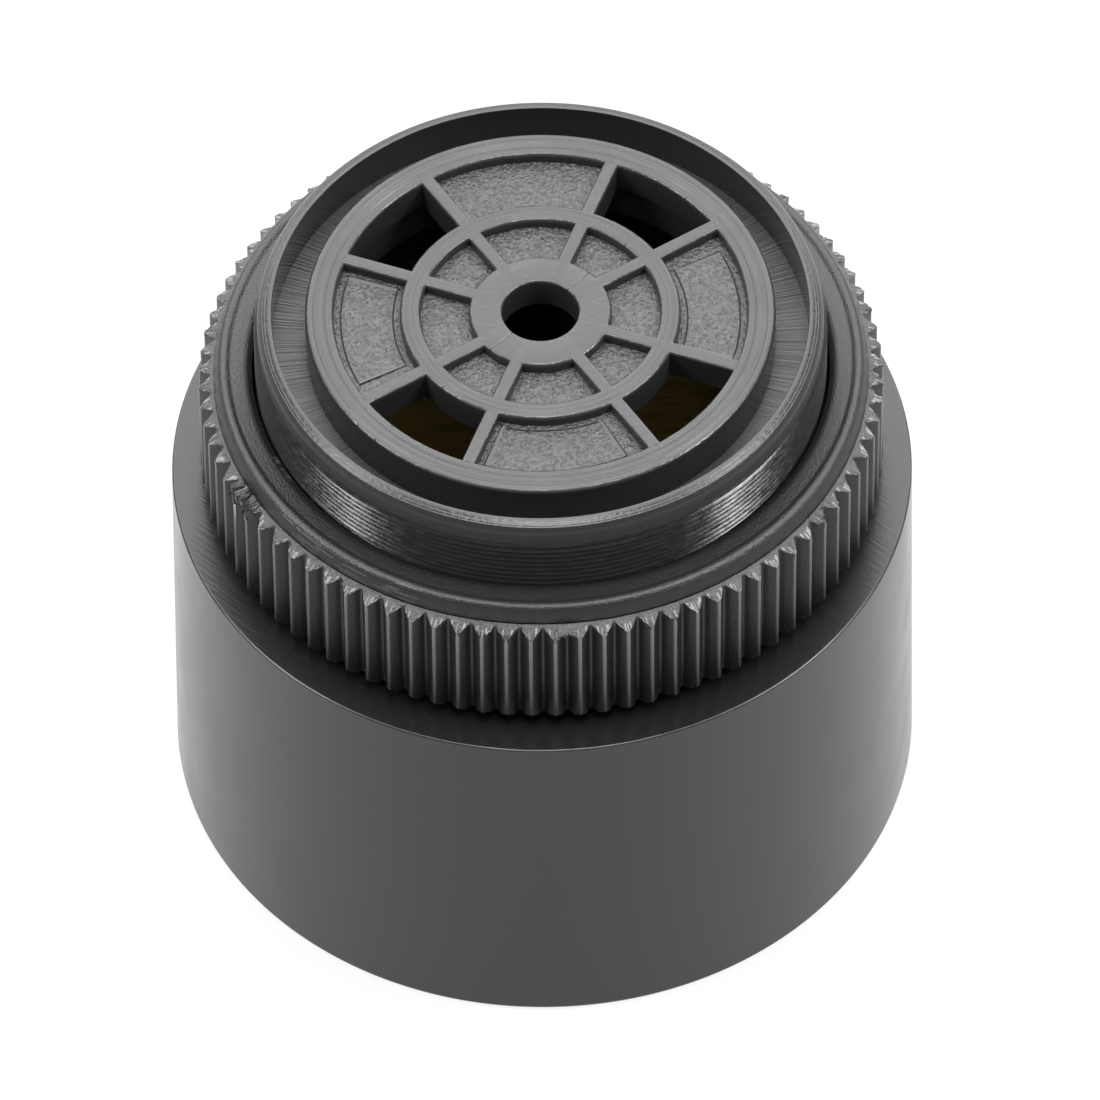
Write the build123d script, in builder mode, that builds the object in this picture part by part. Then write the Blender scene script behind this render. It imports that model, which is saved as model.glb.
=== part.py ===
"""Panel-mount piezo buzzer with a threaded neck, a moulded grille and a knurled ring nut.

Millimetres. The origin is the centre of the back rim, on which the buzzer stands, and +Z is the way
the sound leaves. Inside, the sounder, its sleeve, the driver board and the back cover are one stack,
pressed from the back against a seat under the shoulder, and the body is as high as that stack needs.
"""
import os
from math import cos, pi, radians, sin, sqrt

from build123d import *

os.makedirs("parts", exist_ok=True)

# Cuts and fits
overrun = 1.0
slip_clearance = 0.05
hole_clearance = 0.1

# Housing: body
body_radius = 19.8
body_draft = 0.25
body_wall = 1.8
shoulder_wall = 2.0
shoulder_edge_radius = 0.15
back_edge_radius = 0.3

# Housing: neck
neck_radius = 15.0
neck_height = 12.4
neck_wall = 1.8
thread_depth = 0.18
lead_in_height = 0.85
rim_wall = 0.95
rim_chamfer = 0.4
groove_width = 1.75
groove_depth = 2.4
groove_floor_wall = 1.6

# Housing: grille
grille_edge_radius = 0.2
grille_plate = 1.8
outer_ring_width = 1.5
core_margin = 0.2
ring_radius = 7.35
ring_width = 1.1
hub_radius = 3.75
sound_hole_radius = 2.0
spoke_width = 0.8
open_sector_angle = 37.0
pocket_depth = 0.6

# Ring nut
nut_gap = 0.65
nut_bore_clearance = 0.15
nut_wall = 2.05
nut_bore_chamfer = 0.35
knurl_height = 6.5
knurl_ledge = 0.15
knurl_depth = 0.65
knurl_teeth = 88
knurl_crest_share = 0.14
knurl_gullet_share = 0.3
knurl_top_rise = 0.4
knurl_foot_chamfer = 0.25
collar_height = 1.0
collar_edge_radius = 0.55
collar_bead_share = 0.03
collar_ramp_share = 0.15
collar_dish = 0.12

# Sounder
plate_thickness = 0.3
plate_edge_clearance = 0.5
bare_edge_width = 3.9
ceramic_thickness = 0.25
seat_width = 1.6
seat_height = 0.8
chamber_headroom = 0.85

# Driver board
board_thickness = 1.6
board_edge_clearance = 0.3
tail_length = 0.8

# Step-up coil
coil_radius = 4.0
coil_height = 7.0
coil_flange = 1.0
coil_core_radius = 2.0
coil_winding_inset = 0.4
coil_pin_radius = 0.35
coil_pin_circle_radius = 2.5
coil_pin_count = 3
coil_place_shares = (0.0, 0.52)

# Driver transistor
transistor_radius = 2.3
transistor_flat = 1.4
transistor_height = 4.6
transistor_stand = 1.5
transistor_leg_width = 0.45
transistor_leg_pitch = 1.27
transistor_place_shares = (0.52, 0.49)

# Supply capacitor
capacitor_radius = 2.5
capacitor_height = 7.0
capacitor_top_radius = 0.4
capacitor_crimp_depth = 0.3
capacitor_crimp_height = 1.2
capacitor_leg_radius = 0.25
capacitor_leg_pitch = 2.0
capacitor_place_shares = (-0.52, 0.49)

# Polarity diode and bias resistors, lying across the board
diode_radius = 1.3
diode_length = 5.0
diode_lead_radius = 0.4
diode_place_share = -0.77
resistor_radius = 0.95
resistor_cap_radius = 1.15
resistor_cap_length = 1.6
resistor_length = 6.2
resistor_lead_radius = 0.28
resistor_place_shares = (-0.31, -0.54)
lying_pitch = 10.0
lying_bend_radius = 0.9
lying_stand = 0.2

# Sounder leads
lead_radius = 0.35
lead_bend_radius = 1.2
lead_rise_share = 0.3
plate_lead_angle = -26.5
plate_lead_reach = 2.2
ceramic_lead_angle = 206.5
ceramic_lead_foot_share = 0.75
ceramic_lead_head_share = 0.62
feedback_lead_angle = 165.0
feedback_lead_foot_share = 0.78
feedback_lead_head_share = 0.77

# Back cover
cover_thickness = 2.0
cover_ledge = 0.6
cover_rim_width = 1.5
cover_rim_height = 2.3
cover_edge_chamfer = 0.3
boss_radius = 4.0
boss_height = 1.5

# Terminals
terminal_pitch = 19.0
post_radius = 2.5
post_flange_radius = 3.4
post_flange = 1.1
post_pin_radius = 0.5
post_end_wall = 0.6
screw_radius = 1.5
screw_end_gap = 0.4
screw_head_radius = 2.8
screw_head_height = 1.8
screw_head_edge_radius = 0.5
screw_head_recess = 1.0
screw_slot_width = 0.8
screw_slot_depth = 0.9
washer_radius = 3.2
washer_thickness = 0.6

# Levels, from the back rim upwards
head_face = screw_head_recess
washer_face = head_face + screw_head_height
post_face = washer_face + washer_thickness
cover_back = post_face + post_flange
cover_front = cover_back + cover_thickness
post_top = cover_front + boss_height
board_underside = cover_front + cover_rim_height
tail_level = board_underside - tail_length
board_top = board_underside + board_thickness
transistor_base = board_top + transistor_stand
tallest_part = max(coil_height, capacitor_height, transistor_stand + transistor_height)
ceramic_back = board_top + tallest_part + chamber_headroom
plate_back = ceramic_back + ceramic_thickness
seat_level = plate_back + plate_thickness
shoulder_underside = seat_level + seat_height
shoulder_level = shoulder_underside + shoulder_wall
nut_base = shoulder_level + nut_gap
knurl_top = nut_base + knurl_height
seam_level = knurl_top + knurl_top_rise
collar_top = seam_level + collar_height
rim_level = shoulder_level + neck_height
thread_end_level = rim_level - rim_chamfer - lead_in_height
groove_level = rim_level - groove_depth
grille_underside = rim_level - grille_plate
front_wall_underside = groove_level - groove_floor_wall

# Radii that follow from the walls
shoulder_radius = body_radius - body_draft
bore_radius = body_radius - body_wall
cover_bore_radius = bore_radius + cover_ledge
seat_inner_radius = bore_radius - seat_width
ceramic_radius = seat_inner_radius - bare_edge_width
board_radius = bore_radius - board_edge_clearance
neck_bore_radius = neck_radius - neck_wall
lead_in_radius = neck_radius - thread_depth
groove_outer_radius = neck_radius - rim_wall
grille_radius = groove_outer_radius - groove_width
sector_outer_radius = grille_radius - outer_ring_width
core_radius = sector_outer_radius + core_margin
nut_bore_radius = neck_radius + nut_bore_clearance
collar_radius = nut_bore_radius + nut_wall
knurl_root_radius = collar_radius + knurl_ledge
knurl_tip_radius = knurl_root_radius + knurl_depth


def polar(radius, angle):
    """A point at a radius and an angle in radians."""
    return (radius * cos(angle), radius * sin(angle))


# Housing, turned section: tapered body, shoulder, threaded neck, rim, groove and grille plate
with BuildPart() as housing:
    with BuildSketch(Plane.XZ) as housing_section:
        with BuildLine():
            Polyline(
                (body_radius, 0),
                (shoulder_radius, shoulder_level),
                (neck_radius, shoulder_level),
                (neck_radius, thread_end_level),
                (lead_in_radius, thread_end_level),
                (lead_in_radius, rim_level - rim_chamfer),
                (neck_radius - rim_chamfer, rim_level),
                (groove_outer_radius, rim_level),
                (groove_outer_radius, groove_level),
                (grille_radius, groove_level),
                (grille_radius, rim_level),
                (sound_hole_radius, rim_level),
                (sound_hole_radius, grille_underside),
                (core_radius, grille_underside),
                (core_radius, front_wall_underside),
                (neck_bore_radius, front_wall_underside),
                (neck_bore_radius, shoulder_underside),
                (seat_inner_radius, shoulder_underside),
                (seat_inner_radius, seat_level),
                (bore_radius, seat_level),
                (bore_radius, cover_front),
                (cover_bore_radius, cover_front),
                (cover_bore_radius, 0),
                close=True,
            )
        make_face()
        corners = housing_section.vertices()
        fillet(corners.sort_by_distance((body_radius, 0, 0))[0], back_edge_radius)
        fillet(corners.sort_by_distance((shoulder_radius, shoulder_level, 0))[0], shoulder_edge_radius)
        fillet(corners.sort_by_distance((grille_radius, rim_level, 0))[0], grille_edge_radius)
    revolve(axis=Axis.Z)

    # Eight straight spokes in four pairs; between them, cells in an outer and an inner ring
    half_open = open_sector_angle / 2
    quarter = 90
    diagonals = [quarter * turn + quarter / 2 for turn in range(4)]
    spoke_angles = [middle + side * half_open for middle in diagonals for side in (-1, 1)]
    with BuildSketch(Plane.XY.offset(rim_level)) as outer_cells:
        Circle(sector_outer_radius)
        Circle(ring_radius, mode=Mode.SUBTRACT)
        for angle in spoke_angles:
            Rectangle(
                grille_radius,
                spoke_width,
                rotation=angle,
                align=(Align.MIN, Align.CENTER),
                mode=Mode.SUBTRACT,
            )
    with BuildSketch(Plane.XY.offset(rim_level)) as inner_cells:
        Circle(ring_radius - ring_width)
        Circle(hub_radius, mode=Mode.SUBTRACT)
        for angle in spoke_angles:
            Rectangle(
                grille_radius,
                spoke_width,
                rotation=angle,
                align=(Align.MIN, Align.CENTER),
                mode=Mode.SUBTRACT,
            )

    # The outer cells on the diagonals are open sectors, and all the others are shallow pockets
    cells = outer_cells.sketch.faces()
    middles = [cell.center(CenterOf.MASS) for cell in cells]
    off_axes = [min(abs(middle.X), abs(middle.Y)) > spoke_width for middle in middles]
    open_sectors = [cell for cell, is_open in zip(cells, off_axes) if is_open]
    outer_pockets = [cell for cell, is_open in zip(cells, off_axes) if not is_open]
    extrude(open_sectors, amount=-(grille_plate + overrun), mode=Mode.SUBTRACT)
    extrude(outer_pockets + inner_cells.sketch.faces(), amount=-pocket_depth, mode=Mode.SUBTRACT)
housing.part.label = "housing"
export_step(housing.part, "parts/housing.step")


# Ring nut: a ring of V teeth, sloped at the top, below a plain collar with a rounded, dished top
with BuildPart() as ring_nut:
    bead_inner = collar_radius - collar_edge_radius - nut_wall * collar_bead_share
    dish_outer = bead_inner - nut_wall * collar_ramp_share
    dish_level = collar_top - collar_dish
    with BuildSketch(Plane.XZ) as nut_section:
        with BuildLine():
            Polyline(
                (nut_bore_radius + nut_bore_chamfer, nut_base),
                (collar_radius, nut_base),
                (collar_radius, collar_top),
                (bead_inner, collar_top),
                (dish_outer, dish_level),
                (nut_bore_radius + nut_bore_chamfer, dish_level),
                (nut_bore_radius, dish_level - nut_bore_chamfer),
                (nut_bore_radius, nut_base + nut_bore_chamfer),
                close=True,
            )
        make_face()
        collar_corner = nut_section.vertices().sort_by_distance((collar_radius, collar_top, 0))[0]
        fillet(collar_corner, collar_edge_radius)
    revolve(axis=Axis.Z)

    # The blank that the teeth are cut from, with its sloped top and its chamfered foot
    with BuildSketch(Plane.XZ):
        with BuildLine():
            Polyline(
                (collar_radius - nut_wall / 2, nut_base),
                (knurl_tip_radius - knurl_foot_chamfer, nut_base),
                (knurl_tip_radius, nut_base + knurl_foot_chamfer),
                (knurl_tip_radius, knurl_top),
                (collar_radius, seam_level),
                (collar_radius - nut_wall / 2, seam_level),
                close=True,
            )
        make_face()
    knurl_blank = revolve(axis=Axis.Z, mode=Mode.PRIVATE)

    tooth_step = 2 * pi / knurl_teeth
    half_crest = tooth_step * knurl_crest_share / 2
    half_gullet = tooth_step * knurl_gullet_share / 2
    tooth_points = []
    for tooth in range(knurl_teeth):
        crest = tooth * tooth_step
        gullet = crest + tooth_step / 2
        tooth_points.append(polar(knurl_tip_radius, crest - half_crest))
        tooth_points.append(polar(knurl_tip_radius, crest + half_crest))
        tooth_points.append(polar(knurl_root_radius, gullet - half_gullet))
        tooth_points.append(polar(knurl_root_radius, gullet + half_gullet))
    with BuildSketch(Plane.XY.offset(nut_base)):
        with BuildLine():
            Polyline(*tooth_points, close=True)
        make_face()
    toothed_bar = extrude(amount=knurl_height + knurl_top_rise, mode=Mode.PRIVATE)
    add(knurl_blank & toothed_bar)
ring_nut.part.label = "ring_nut"
export_step(ring_nut.part, "parts/ring_nut.step")


# Sounder: a brass plate held at its edge, with a ceramic disc bonded to its back
with BuildPart() as piezo_plate:
    with BuildSketch(Plane.XY.offset(plate_back)):
        Circle(bore_radius - plate_edge_clearance)
    extrude(amount=plate_thickness)
piezo_plate.part.label = "piezo_plate"
export_step(piezo_plate.part, "parts/piezo_plate.step")

with BuildPart() as piezo_ceramic:
    with BuildSketch(Plane.XY.offset(ceramic_back)):
        Circle(ceramic_radius)
    extrude(amount=ceramic_thickness)
piezo_ceramic.part.label = "piezo_ceramic"
export_step(piezo_ceramic.part, "parts/piezo_ceramic.step")


# Sleeve between the plate's edge and the board
with BuildPart() as spacer_sleeve:
    with BuildSketch(Plane.XY.offset(board_top)):
        Circle(bore_radius - slip_clearance)
        Circle(seat_inner_radius, mode=Mode.SUBTRACT)
    extrude(amount=plate_back - board_top)
spacer_sleeve.part.label = "spacer_sleeve"
export_step(spacer_sleeve.part, "parts/spacer_sleeve.step")


# Places of the parts on the board, and of the pins and legs that go through it
coil_place = tuple(seat_inner_radius * share for share in coil_place_shares)
transistor_place = tuple(seat_inner_radius * share for share in transistor_place_shares)
capacitor_place = tuple(seat_inner_radius * share for share in capacitor_place_shares)
diode_place_y = seat_inner_radius * diode_place_share
resistor_place_ys = [seat_inner_radius * share for share in resistor_place_shares]
coil_pin_places = []
for pin in range(coil_pin_count):
    pin_offset = polar(coil_pin_circle_radius, 2 * pi * pin / coil_pin_count)
    coil_pin_places.append((coil_place[0] + pin_offset[0], coil_place[1] + pin_offset[1]))
transistor_leg_places = [
    (transistor_place[0] + side * transistor_leg_pitch, transistor_place[1]) for side in (-1, 0, 1)
]
capacitor_leg_places = [
    (capacitor_place[0] + side * capacitor_leg_pitch / 2, capacitor_place[1]) for side in (-1, 1)
]
diode_leg_places = [(side * lying_pitch / 2, diode_place_y) for side in (-1, 1)]
resistor_leg_places = [(side * lying_pitch / 2, y) for y in resistor_place_ys for side in (-1, 1)]
terminal_places = [(side * terminal_pitch / 2, 0) for side in (-1, 1)]

# Places of the sounder leads: on the bare edge of the plate, and at two spots on the ceramic
plate_edge_middle = ceramic_radius + bare_edge_width / 2
plate_lead_head = polar(plate_edge_middle, radians(plate_lead_angle))
plate_lead_foot = polar(plate_edge_middle - plate_lead_reach, radians(plate_lead_angle))
ceramic_lead_head = polar(ceramic_radius * ceramic_lead_head_share, radians(ceramic_lead_angle))
ceramic_lead_foot = polar(seat_inner_radius * ceramic_lead_foot_share, radians(ceramic_lead_angle))
feedback_lead_head = polar(ceramic_radius * feedback_lead_head_share, radians(feedback_lead_angle))
feedback_lead_foot = polar(seat_inner_radius * feedback_lead_foot_share, radians(feedback_lead_angle))
lead_feet = [plate_lead_foot, ceramic_lead_foot, feedback_lead_foot]


# Driver board, drilled for every pin, leg and lead
with BuildPart() as circuit_board:
    with BuildSketch(Plane.XY.offset(board_underside)):
        Circle(board_radius)
        with Locations(*coil_pin_places):
            Circle(coil_pin_radius + hole_clearance, mode=Mode.SUBTRACT)
        with Locations(*transistor_leg_places):
            Circle(transistor_leg_width / sqrt(2) + hole_clearance, mode=Mode.SUBTRACT)
        with Locations(*capacitor_leg_places):
            Circle(capacitor_leg_radius + hole_clearance, mode=Mode.SUBTRACT)
        with Locations(*diode_leg_places):
            Circle(diode_lead_radius + hole_clearance, mode=Mode.SUBTRACT)
        with Locations(*resistor_leg_places):
            Circle(resistor_lead_radius + hole_clearance, mode=Mode.SUBTRACT)
        with Locations(*lead_feet):
            Circle(lead_radius + hole_clearance, mode=Mode.SUBTRACT)
        with Locations(*terminal_places):
            Circle(post_pin_radius + hole_clearance, mode=Mode.SUBTRACT)
    extrude(amount=board_thickness)
circuit_board.part.label = "circuit_board"
export_step(circuit_board.part, "parts/circuit_board.step")


# Step-up coil: a ferrite drum, its winding and its pins
with BuildPart() as coil_core:
    with BuildSketch(Plane.XY.offset(board_top)):
        with Locations(coil_place):
            Circle(coil_radius)
    extrude(amount=coil_height)
    with BuildSketch(Plane.XY.offset(board_top + coil_flange)):
        with Locations(coil_place):
            Circle(coil_radius + overrun)
            Circle(coil_core_radius, mode=Mode.SUBTRACT)
    extrude(amount=coil_height - 2 * coil_flange, mode=Mode.SUBTRACT)
coil_core.part.label = "coil_core"
export_step(coil_core.part, "parts/coil_core.step")

with BuildPart() as coil_winding:
    with BuildSketch(Plane.XY.offset(board_top + coil_flange)):
        with Locations(coil_place):
            Circle(coil_radius - coil_winding_inset)
            Circle(coil_core_radius + slip_clearance, mode=Mode.SUBTRACT)
    extrude(amount=coil_height - 2 * coil_flange)
coil_winding.part.label = "coil_winding"
export_step(coil_winding.part, "parts/coil_winding.step")

with BuildPart() as coil_pins:
    with BuildSketch(Plane.XY.offset(tail_level)):
        with Locations(*coil_pin_places):
            Circle(coil_pin_radius)
    extrude(amount=board_top - tail_level)
coil_pins.part.label = "coil_pins"
export_step(coil_pins.part, "parts/coil_pins.step")


# Driver transistor: a moulded D-shaped body on three flat legs
with BuildPart() as transistor_body:
    with BuildSketch(Plane.XY.offset(transistor_base)):
        with Locations(transistor_place):
            Circle(transistor_radius)
        with Locations((transistor_place[0], transistor_place[1] + transistor_flat)):
            Rectangle(
                2 * transistor_radius,
                transistor_radius,
                align=(Align.CENTER, Align.MIN),
                mode=Mode.SUBTRACT,
            )
    extrude(amount=transistor_height)
transistor_body.part.label = "transistor_body"
export_step(transistor_body.part, "parts/transistor_body.step")

with BuildPart() as transistor_legs:
    with BuildSketch(Plane.XY.offset(tail_level)):
        with Locations(*transistor_leg_places):
            Rectangle(transistor_leg_width, transistor_leg_width)
    extrude(amount=transistor_base - tail_level)
transistor_legs.part.label = "transistor_legs"
export_step(transistor_legs.part, "parts/transistor_legs.step")


# Supply capacitor: a drawn can with a crimp above its base, on two legs
with BuildPart() as capacitor_can:
    can_base = (capacitor_place[0], capacitor_place[1], board_top)
    can_plane = Plane(can_base, x_dir=(1, 0, 0), z_dir=(0, -1, 0))
    with BuildSketch(can_plane) as can_section:
        with BuildLine():
            Polyline(
                (0, 0),
                (capacitor_radius, 0),
                (capacitor_radius, capacitor_crimp_height - capacitor_crimp_depth),
                (capacitor_radius - capacitor_crimp_depth, capacitor_crimp_height),
                (capacitor_radius, capacitor_crimp_height + capacitor_crimp_depth),
                (capacitor_radius, capacitor_height),
                (0, capacitor_height),
                close=True,
            )
        make_face()
        can_corner = can_section.vertices().sort_by_distance((capacitor_radius, capacitor_height, 0))[0]
        fillet(can_corner, capacitor_top_radius)
    revolve(axis=Axis(can_base, (0, 0, 1)))
capacitor_can.part.label = "capacitor_can"
export_step(capacitor_can.part, "parts/capacitor_can.step")

with BuildPart() as capacitor_legs:
    with BuildSketch(Plane.XY.offset(tail_level)):
        with Locations(*capacitor_leg_places):
            Circle(capacitor_leg_radius)
    extrude(amount=board_top - tail_level)
capacitor_legs.part.label = "capacitor_legs"
export_step(capacitor_legs.part, "parts/capacitor_legs.step")


# Lying parts: each lead leaves the body's end, bends down and goes through the board
def lying_lead(side, place_y, axis_level, body_length, wire_radius):
    """One bent lead of a part that lies along X."""
    body_end = (side * body_length / 2, place_y, axis_level)
    elbow = (side * lying_pitch / 2, place_y, axis_level)
    tail = (side * lying_pitch / 2, place_y, tail_level)
    with BuildLine() as lead_path:
        FilletPolyline(body_end, elbow, tail, radius=lying_bend_radius)
    with BuildSketch(Plane(lead_path.line @ 0, z_dir=lead_path.line % 0)) as lead_section:
        Circle(wire_radius)
    sweep(lead_section.sketch, path=lead_path.line)


diode_axis_level = board_top + lying_stand + diode_radius
with BuildPart() as diode_body:
    with BuildSketch(Plane.YZ.offset(-diode_length / 2)):
        with Locations((diode_place_y, diode_axis_level)):
            Circle(diode_radius)
    extrude(amount=diode_length)
diode_body.part.label = "diode_body"
export_step(diode_body.part, "parts/diode_body.step")

with BuildPart() as diode_leads:
    for lead_side in (-1, 1):
        lying_lead(lead_side, diode_place_y, diode_axis_level, diode_length, diode_lead_radius)
diode_leads.part.label = "diode_leads"
export_step(diode_leads.part, "parts/diode_leads.step")

resistor_axis_level = board_top + lying_stand + resistor_cap_radius
with BuildPart() as resistor_bodies:
    for resistor_y in resistor_place_ys:
        half_length = resistor_length / 2
        resistor_axis = Axis((0, resistor_y, resistor_axis_level), (1, 0, 0))
        with BuildSketch(Plane((0, resistor_y, resistor_axis_level), x_dir=(1, 0, 0), z_dir=(0, -1, 0))):
            with BuildLine():
                Polyline(
                    (-half_length, 0),
                    (-half_length, resistor_cap_radius),
                    (-half_length + resistor_cap_length, resistor_cap_radius),
                    (-half_length + resistor_cap_length, resistor_radius),
                    (half_length - resistor_cap_length, resistor_radius),
                    (half_length - resistor_cap_length, resistor_cap_radius),
                    (half_length, resistor_cap_radius),
                    (half_length, 0),
                    close=True,
                )
            make_face()
        revolve(axis=resistor_axis)
resistor_bodies.part.label = "resistor_bodies"
export_step(resistor_bodies.part, "parts/resistor_bodies.step")

with BuildPart() as resistor_leads:
    for resistor_y in resistor_place_ys:
        for lead_side in (-1, 1):
            lying_lead(lead_side, resistor_y, resistor_axis_level, resistor_length, resistor_lead_radius)
resistor_leads.part.label = "resistor_leads"
export_step(resistor_leads.part, "parts/resistor_leads.step")


# Sounder leads: up from the board, across, and square onto the sounder's back
def sounder_lead(foot, head, head_level):
    """One insulated lead from a hole in the board to a face of the sounder."""
    rise = (head_level - board_top) * lead_rise_share
    with BuildLine() as lead_path:
        FilletPolyline(
            (foot[0], foot[1], tail_level),
            (foot[0], foot[1], board_top + rise),
            (head[0], head[1], head_level - rise),
            (head[0], head[1], head_level),
            radius=lead_bend_radius,
        )
    with BuildSketch(Plane(lead_path.line @ 0, z_dir=lead_path.line % 0)) as lead_section:
        Circle(lead_radius)
    sweep(lead_section.sketch, path=lead_path.line)


with BuildPart() as plate_lead:
    sounder_lead(plate_lead_foot, plate_lead_head, plate_back)
plate_lead.part.label = "plate_lead"
export_step(plate_lead.part, "parts/plate_lead.step")

with BuildPart() as ceramic_lead:
    sounder_lead(ceramic_lead_foot, ceramic_lead_head, ceramic_back)
ceramic_lead.part.label = "ceramic_lead"
export_step(ceramic_lead.part, "parts/ceramic_lead.step")

with BuildPart() as feedback_lead:
    sounder_lead(feedback_lead_foot, feedback_lead_head, ceramic_back)
feedback_lead.part.label = "feedback_lead"
export_step(feedback_lead.part, "parts/feedback_lead.step")


# Back cover: a plate on the housing's ledge, a rim that presses on the board, two terminal bosses
with BuildPart() as back_cover:
    cover_radius = cover_bore_radius - slip_clearance
    with BuildSketch(Plane.XY.offset(cover_back)):
        Circle(cover_radius)
    extrude(amount=cover_thickness)
    back_edge = back_cover.edges().filter_by(GeomType.CIRCLE).sort_by(Axis.Z)[0]
    chamfer(back_edge, cover_edge_chamfer)
    with BuildSketch(Plane.XY.offset(cover_front)):
        Circle(board_radius)
        Circle(board_radius - cover_rim_width, mode=Mode.SUBTRACT)
    extrude(amount=cover_rim_height)
    with BuildSketch(Plane.XY.offset(cover_front)):
        with Locations(*terminal_places):
            Circle(boss_radius)
    extrude(amount=boss_height)
    with BuildSketch(Plane.XY.offset(cover_back)):
        with Locations(*terminal_places):
            Circle(post_radius + slip_clearance)
    extrude(amount=cover_thickness + boss_height + overrun, mode=Mode.SUBTRACT)
back_cover.part.label = "back_cover"
export_step(back_cover.part, "parts/back_cover.step")


# Terminals: brass posts seated on the cover, wire clamp washers and slotted screws
screw_hole_depth = post_top - post_face - post_end_wall
with BuildPart() as terminal_posts:
    with BuildSketch(Plane.XY.offset(post_face)):
        with Locations(*terminal_places):
            Circle(post_flange_radius)
    extrude(amount=post_flange)
    with BuildSketch(Plane.XY.offset(cover_back)):
        with Locations(*terminal_places):
            Circle(post_radius)
    extrude(amount=post_top - cover_back)
    with BuildSketch(Plane.XY.offset(post_top)):
        with Locations(*terminal_places):
            Circle(post_pin_radius)
    extrude(amount=board_top + tail_length - post_top)
    with BuildSketch(Plane.XY.offset(post_face)):
        with Locations(*terminal_places):
            Circle(screw_radius)
    extrude(amount=screw_hole_depth, mode=Mode.SUBTRACT)
terminal_posts.part.label = "terminal_posts"
export_step(terminal_posts.part, "parts/terminal_posts.step")

with BuildPart() as terminal_washers:
    with BuildSketch(Plane.XY.offset(washer_face)):
        with Locations(*terminal_places):
            Circle(washer_radius)
            Circle(screw_radius + hole_clearance, mode=Mode.SUBTRACT)
    extrude(amount=washer_thickness)
terminal_washers.part.label = "terminal_washers"
export_step(terminal_washers.part, "parts/terminal_washers.step")

with BuildPart() as terminal_screws:
    with BuildSketch(Plane.XY.offset(head_face)):
        with Locations(*terminal_places):
            Circle(screw_head_radius)
    extrude(amount=screw_head_height)
    head_edges = terminal_screws.edges().filter_by(GeomType.CIRCLE).group_by(Axis.Z)[0]
    fillet(head_edges, screw_head_edge_radius)
    with BuildSketch(Plane.XY.offset(washer_face)):
        with Locations(*terminal_places):
            Circle(screw_radius - slip_clearance)
    extrude(amount=washer_thickness + screw_hole_depth - screw_end_gap)
    with BuildSketch(Plane.XY.offset(head_face)):
        with Locations(*terminal_places):
            Rectangle(2 * screw_head_radius + overrun, screw_slot_width)
    extrude(amount=screw_slot_depth, mode=Mode.SUBTRACT)
terminal_screws.part.label = "terminal_screws"
export_step(terminal_screws.part, "parts/terminal_screws.step")
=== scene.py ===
import random
from math import asin, atan2, cos, hypot, pi, radians, sin

import bmesh
import bpy
import numpy as np
from mathutils import Matrix, Quaternion, Vector


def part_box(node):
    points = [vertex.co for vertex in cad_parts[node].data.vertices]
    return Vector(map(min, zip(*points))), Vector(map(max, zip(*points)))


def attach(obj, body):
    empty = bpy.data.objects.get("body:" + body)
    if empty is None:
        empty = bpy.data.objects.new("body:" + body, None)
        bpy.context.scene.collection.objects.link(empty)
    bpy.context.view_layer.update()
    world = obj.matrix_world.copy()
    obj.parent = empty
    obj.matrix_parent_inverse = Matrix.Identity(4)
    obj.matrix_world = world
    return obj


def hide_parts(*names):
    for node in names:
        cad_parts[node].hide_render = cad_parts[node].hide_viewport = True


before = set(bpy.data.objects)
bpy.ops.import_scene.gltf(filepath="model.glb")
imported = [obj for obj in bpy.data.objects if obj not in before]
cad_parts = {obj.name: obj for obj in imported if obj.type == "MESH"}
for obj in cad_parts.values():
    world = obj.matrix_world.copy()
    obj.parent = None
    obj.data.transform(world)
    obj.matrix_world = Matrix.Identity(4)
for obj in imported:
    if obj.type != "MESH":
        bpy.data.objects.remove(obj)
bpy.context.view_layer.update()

# Housing
# The one large moulding of black ABS: body, shoulder, threaded neck, rim, groove and spoked grille.
# It comes out of the mould whole, and the rim and the grille's outer ring are then faced on a lathe.
mm = 0.001
nut_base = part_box("ring_nut")[0].z
nut_gap = 0.65 * mm
shoulder_level = nut_base - nut_gap
rim_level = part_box("housing")[1].z
seat_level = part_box("piezo_plate")[1].z
cover_rim_height = 2.3 * mm
cover_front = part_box("back_cover")[1].z - cover_rim_height
body_radius = 19.8 * mm
body_draft = 0.25 * mm
body_wall = 1.8 * mm
seat_width = 1.6 * mm
seat_height = 0.8 * mm
cover_ledge = 0.6 * mm
thread_crest = 15.0 * mm
thread_root = 14.82 * mm
neck_bore = 13.2 * mm
rim_drop = 0.5 * mm
rim_slope = 0.2 * mm
rim_outer = 14.62 * mm
rim_flat = 14.2 * mm
groove_outer = 14.05 * mm
groove_depth = 2.4 * mm
groove_floor_wall = 1.6 * mm
grille_radius = 12.3 * mm
grille_plate = 1.8 * mm
core_radius = 11.0 * mm
sector_radius = 10.8 * mm
ring_outer = 7.35 * mm
ring_inner = 6.25 * mm
hub_radius = 3.75 * mm
sound_hole = 2.0 * mm
spoke_width = 0.8 * mm
spoke_spread = radians(18.5)
pocket_depth = 0.6 * mm
foot_rounding = 0.3 * mm
lead_in_rounding = 0.06 * mm
slope_rounding = 0.05 * mm
flat_rounding = 0.04 * mm
groove_rounding = 0.05 * mm
grille_rounding = 0.22 * mm
hole_rounding = 0.14 * mm
cell_edge_rounding = 0.2 * mm
hair = 0.02 * mm

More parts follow.
